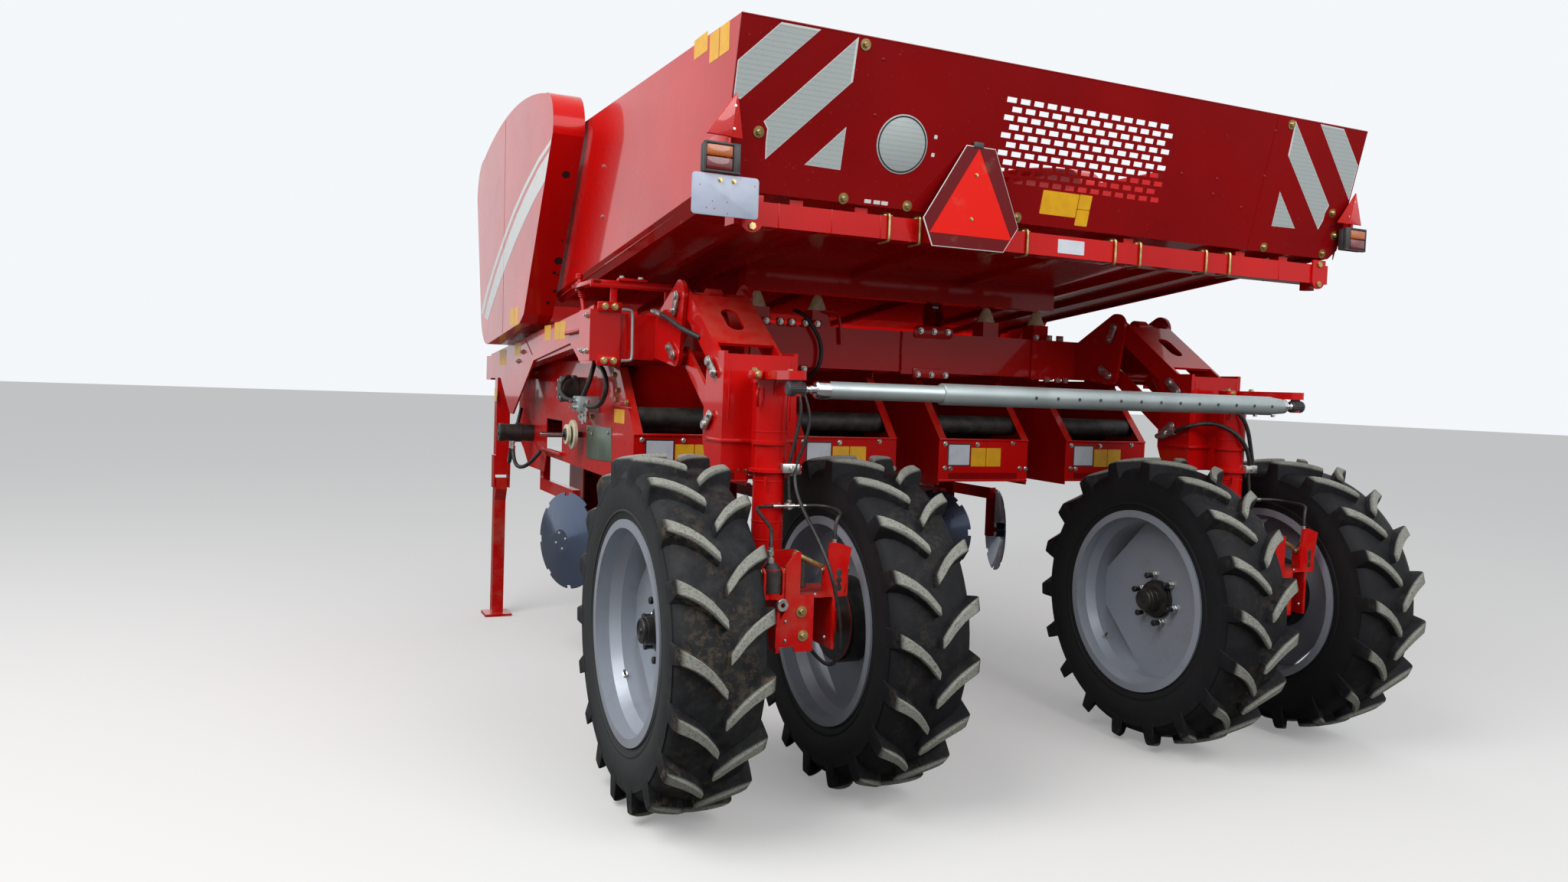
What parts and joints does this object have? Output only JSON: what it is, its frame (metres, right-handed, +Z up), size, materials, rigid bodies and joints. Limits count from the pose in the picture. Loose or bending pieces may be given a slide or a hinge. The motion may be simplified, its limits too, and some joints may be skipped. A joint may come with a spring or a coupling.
{
  "type": "four-row belt potato planter",
  "caption": "Semi-mounted belt potato planter with tipping seed hopper, planting units, covering discs, steered twin rear wheels and parking stands.",
  "frame": {"origin": "on the ground under the middle of the machine's length and width", "axes": "+X to the machine's right, +Y in the driving direction, +Z up"},
  "size_m": [3.3202, 4.6562, 2.9059],
  "materials": {
    "red_paint": "gloss",
    "dark_red_paint": "gloss",
    "tyre_rubber": "matt",
    "rim_silver": "satin",
    "black_paint": "satin",
    "zinc_tube": "satin",
    "chrome_rod": "polished",
    "black_rubber": "matt",
    "lamp_plastic": "matt"
  },
  "bodies": {
    "frame": {"disc_arms": "red_paint", "drive_motors": "black_paint", "front_frame": "red_paint", "front_hopper": "red_paint", "furrow_openers": "red_paint", "lift_brackets": "red_paint", "main_beam": "red_paint", "planting_belts": "black_rubber", "planting_unit_1": "red_paint", "planting_unit_2": "red_paint", "planting_unit_3": "red_paint", "planting_unit_4": "red_paint", "side_beams": "red_paint", "side_shield_left": "red_paint", "side_shield_right": "red_paint"},
    "stand_left": {"stand_left": "red_paint"},
    "stand_right": {"stand_right": "red_paint"},
    "hopper": {"tipping_hopper": "red_paint", "rear_panel": "dark_red_paint", "rear_bar": "red_paint", "lamps_and_signs": "lamp_plastic"},
    "tip_barrel_left": {"tip_barrel_left": "red_paint"},
    "tip_rod_left": {"tip_rod_left": "chrome_rod"},
    "upper_arm_left": {"upper_arm_left": "red_paint"},
    "lower_arm_left": {"lower_arm_left": "red_paint"},
    "housing_left": {"kingpin_housing_left": "red_paint"},
    "leg_left": {"steering_leg_left": "red_paint", "axle_left": "red_paint"},
    "lift_barrel_left": {"lift_barrel_left": "red_paint"},
    "lift_rod_left": {"lift_rod_left": "chrome_rod"},
    "tip_barrel_right": {"tip_barrel_right": "red_paint"},
    "tip_rod_right": {"tip_rod_right": "chrome_rod"},
    "upper_arm_right": {"upper_arm_right": "red_paint"},
    "lower_arm_right": {"lower_arm_right": "red_paint"},
    "housing_right": {"kingpin_housing_right": "red_paint"},
    "leg_right": {"steering_leg_right": "red_paint", "axle_right": "red_paint"},
    "lift_barrel_right": {"lift_barrel_right": "red_paint"},
    "lift_rod_right": {"lift_rod_right": "chrome_rod"},
    "tie_rod": {"tie_rod": "zinc_tube"},
    "wheel_left_outer": {"tyre_left_outer": "tyre_rubber", "rim_left_outer": "rim_silver", "hub_left_outer": "black_paint"},
    "wheel_left_inner": {"tyre_left_inner": "tyre_rubber", "rim_left_inner": "rim_silver", "hub_left_inner": "black_paint"},
    "wheel_right_inner": {"tyre_right_inner": "tyre_rubber", "rim_right_inner": "rim_silver", "hub_right_inner": "black_paint"},
    "wheel_right_outer": {"tyre_right_outer": "tyre_rubber", "rim_right_outer": "rim_silver", "hub_right_outer": "black_paint"},
    "disc_1": {"covering_disc_1": "black_paint"},
    "disc_2": {"covering_disc_2": "black_paint"},
    "disc_3": {"covering_disc_3": "black_paint"},
    "disc_4": {"covering_disc_4": "black_paint"},
    "disc_5": {"covering_disc_5": "black_paint"},
    "disc_6": {"covering_disc_6": "black_paint"},
    "disc_7": {"covering_disc_7": "black_paint"},
    "disc_8": {"covering_disc_8": "black_paint"}
  },
  "joints": [
    {"name": "stand_fold_left", "type": "hinge", "parent": "frame", "child": "stand_left", "pos_m": [-1.46, 1.569, 0.83], "axis": [-1, 0, 0], "range_deg": [0, 88]},
    {"name": "stand_fold_right", "type": "hinge", "parent": "frame", "child": "stand_right", "pos_m": [1.46, 1.569, 0.83], "axis": [-1, 0, 0], "range_deg": [0, 88]},
    {"name": "hopper_tip", "type": "hinge", "parent": "frame", "child": "hopper", "pos_m": [0, 0.639, 1.83], "axis": [-1, 0, 0], "range_deg": [0, 35]},
    {"name": "tip_barrel_swing_left", "type": "hinge", "parent": "frame", "child": "tip_barrel_left", "pos_m": [-0.75, 0.389, 1.45], "axis": [-1, 0, 0], "range_deg": [0, 17.75]},
    {"name": "tip_rod_slide_left", "type": "slide", "parent": "tip_barrel_left", "child": "tip_rod_left", "axis": [0, -0.4472, 0.8944], "range_m": [0, 0.2245]},
    {"name": "tip_barrel_swing_right", "type": "hinge", "parent": "frame", "child": "tip_barrel_right", "pos_m": [0.75, 0.389, 1.45], "axis": [-1, 0, 0], "range_deg": [0, 17.75]},
    {"name": "tip_rod_slide_right", "type": "slide", "parent": "tip_barrel_right", "child": "tip_rod_right", "axis": [0, -0.4472, 0.8944], "range_m": [0, 0.2245]},
    {"name": "rear_lift", "type": "hinge", "parent": "frame", "child": "upper_arm_left", "pos_m": [-1.125, -1.098, 1.827], "axis": [-1, 0, 0], "range_deg": [0, 40]},
    {"name": "lower_arm_swing_left", "type": "hinge", "parent": "frame", "child": "lower_arm_left", "pos_m": [-1.125, -1.076, 1.59], "axis": [-1, 0, 0], "range_deg": [0, 40]},
    {"name": "housing_level_left", "type": "hinge", "parent": "upper_arm_left", "child": "housing_left", "pos_m": [-1.125, -1.483, 1.562], "axis": [-1, 0, 0], "range_deg": [-40, 0]},
    {"name": "lift_barrel_swing_left", "type": "hinge", "parent": "frame", "child": "lift_barrel_left", "pos_m": [-1.125, -1.098, 1.827], "axis": [-1, 0, 0], "range_deg": [0, 30.65]},
    {"name": "lift_rod_slide_left", "type": "slide", "parent": "lift_barrel_left", "child": "lift_rod_left", "axis": [0, -0.586, -0.8103], "range_m": [-0.1362, 0]},
    {"name": "upper_arm_swing_right", "type": "hinge", "parent": "frame", "child": "upper_arm_right", "pos_m": [1.125, -1.098, 1.827], "axis": [-1, 0, 0], "range_deg": [0, 40]},
    {"name": "lower_arm_swing_right", "type": "hinge", "parent": "frame", "child": "lower_arm_right", "pos_m": [1.125, -1.076, 1.59], "axis": [-1, 0, 0], "range_deg": [0, 40]},
    {"name": "housing_level_right", "type": "hinge", "parent": "upper_arm_right", "child": "housing_right", "pos_m": [1.125, -1.483, 1.562], "axis": [-1, 0, 0], "range_deg": [-40, 0]},
    {"name": "lift_barrel_swing_right", "type": "hinge", "parent": "frame", "child": "lift_barrel_right", "pos_m": [1.125, -1.098, 1.827], "axis": [-1, 0, 0], "range_deg": [0, 30.65]},
    {"name": "lift_rod_slide_right", "type": "slide", "parent": "lift_barrel_right", "child": "lift_rod_right", "axis": [0, -0.586, -0.8103], "range_m": [-0.1362, 0]},
    {"name": "steer_left", "type": "hinge", "parent": "housing_left", "child": "leg_left", "pos_m": [-1.125, -1.711, 1.47], "axis": [0, 0, 1], "range_deg": [-18, 18]},
    {"name": "steer_right", "type": "hinge", "parent": "housing_right", "child": "leg_right", "pos_m": [1.125, -1.711, 1.47], "axis": [0, 0, 1], "range_deg": [-18, 18]},
    {"name": "tie_rod_swing", "type": "hinge", "parent": "leg_left", "child": "tie_rod", "pos_m": [-1.167, -2.006, 1.47], "axis": [0, 0, 1], "range_deg": [-18, 18]},
    {"name": "spin_left_outer", "type": "hinge", "parent": "leg_left", "child": "wheel_left_outer", "pos_m": [-1.5, -1.711, 0.618], "axis": [1, 0, 0], "continuous": true},
    {"name": "spin_left_inner", "type": "hinge", "parent": "leg_left", "child": "wheel_left_inner", "pos_m": [-0.75, -1.711, 0.618], "axis": [1, 0, 0], "continuous": true},
    {"name": "spin_right_inner", "type": "hinge", "parent": "leg_right", "child": "wheel_right_inner", "pos_m": [0.75, -1.711, 0.618], "axis": [1, 0, 0], "continuous": true},
    {"name": "spin_right_outer", "type": "hinge", "parent": "leg_right", "child": "wheel_right_outer", "pos_m": [1.5, -1.711, 0.618], "axis": [1, 0, 0], "continuous": true},
    {"name": "spin_disc_1", "type": "hinge", "parent": "frame", "child": "disc_1", "pos_m": [-1.387, 0.289, 0.643], "axis": [-0.9272, -0.3746, 0], "continuous": true},
    {"name": "spin_disc_2", "type": "hinge", "parent": "frame", "child": "disc_2", "pos_m": [-0.863, 0.289, 0.643], "axis": [0.9272, -0.3746, 0], "continuous": true},
    {"name": "spin_disc_3", "type": "hinge", "parent": "frame", "child": "disc_3", "pos_m": [-0.637, 0.289, 0.643], "axis": [-0.9272, -0.3746, 0], "continuous": true},
    {"name": "spin_disc_4", "type": "hinge", "parent": "frame", "child": "disc_4", "pos_m": [-0.113, 0.289, 0.643], "axis": [0.9272, -0.3746, 0], "continuous": true},
    {"name": "spin_disc_5", "type": "hinge", "parent": "frame", "child": "disc_5", "pos_m": [0.113, 0.289, 0.643], "axis": [-0.9272, -0.3746, 0], "continuous": true},
    {"name": "spin_disc_6", "type": "hinge", "parent": "frame", "child": "disc_6", "pos_m": [0.637, 0.289, 0.643], "axis": [0.9272, -0.3746, 0], "continuous": true},
    {"name": "spin_disc_7", "type": "hinge", "parent": "frame", "child": "disc_7", "pos_m": [0.863, 0.289, 0.643], "axis": [-0.9272, -0.3746, 0], "continuous": true},
    {"name": "spin_disc_8", "type": "hinge", "parent": "frame", "child": "disc_8", "pos_m": [1.387, 0.289, 0.643], "axis": [0.9272, -0.3746, 0], "continuous": true}
  ],
  "couplings": [
    {"joint": "tip_barrel_swing_left", "follows": "hopper_tip", "ratio": 0.493},
    {"joint": "tip_rod_slide_left", "follows": "hopper_tip", "m_per_rad": 0.361},
    {"joint": "tip_barrel_swing_right", "follows": "hopper_tip", "ratio": 0.493},
    {"joint": "tip_rod_slide_right", "follows": "hopper_tip", "m_per_rad": 0.361},
    {"joint": "lower_arm_swing_left", "follows": "rear_lift", "ratio": 1},
    {"joint": "housing_level_left", "follows": "rear_lift", "ratio": -1},
    {"joint": "lift_barrel_swing_left", "follows": "rear_lift", "ratio": 0.7538},
    {"joint": "lift_rod_slide_left", "follows": "rear_lift", "m_per_rad": -0.1894},
    {"joint": "upper_arm_swing_right", "follows": "rear_lift", "ratio": 1},
    {"joint": "lower_arm_swing_right", "follows": "rear_lift", "ratio": 1},
    {"joint": "housing_level_right", "follows": "rear_lift", "ratio": -1},
    {"joint": "lift_barrel_swing_right", "follows": "rear_lift", "ratio": 0.7538},
    {"joint": "lift_rod_slide_right", "follows": "rear_lift", "m_per_rad": -0.1894},
    {"joint": "steer_right", "follows": "steer_left", "ratio": 1},
    {"joint": "tie_rod_swing", "follows": "steer_left", "ratio": -0.964}
  ]
}
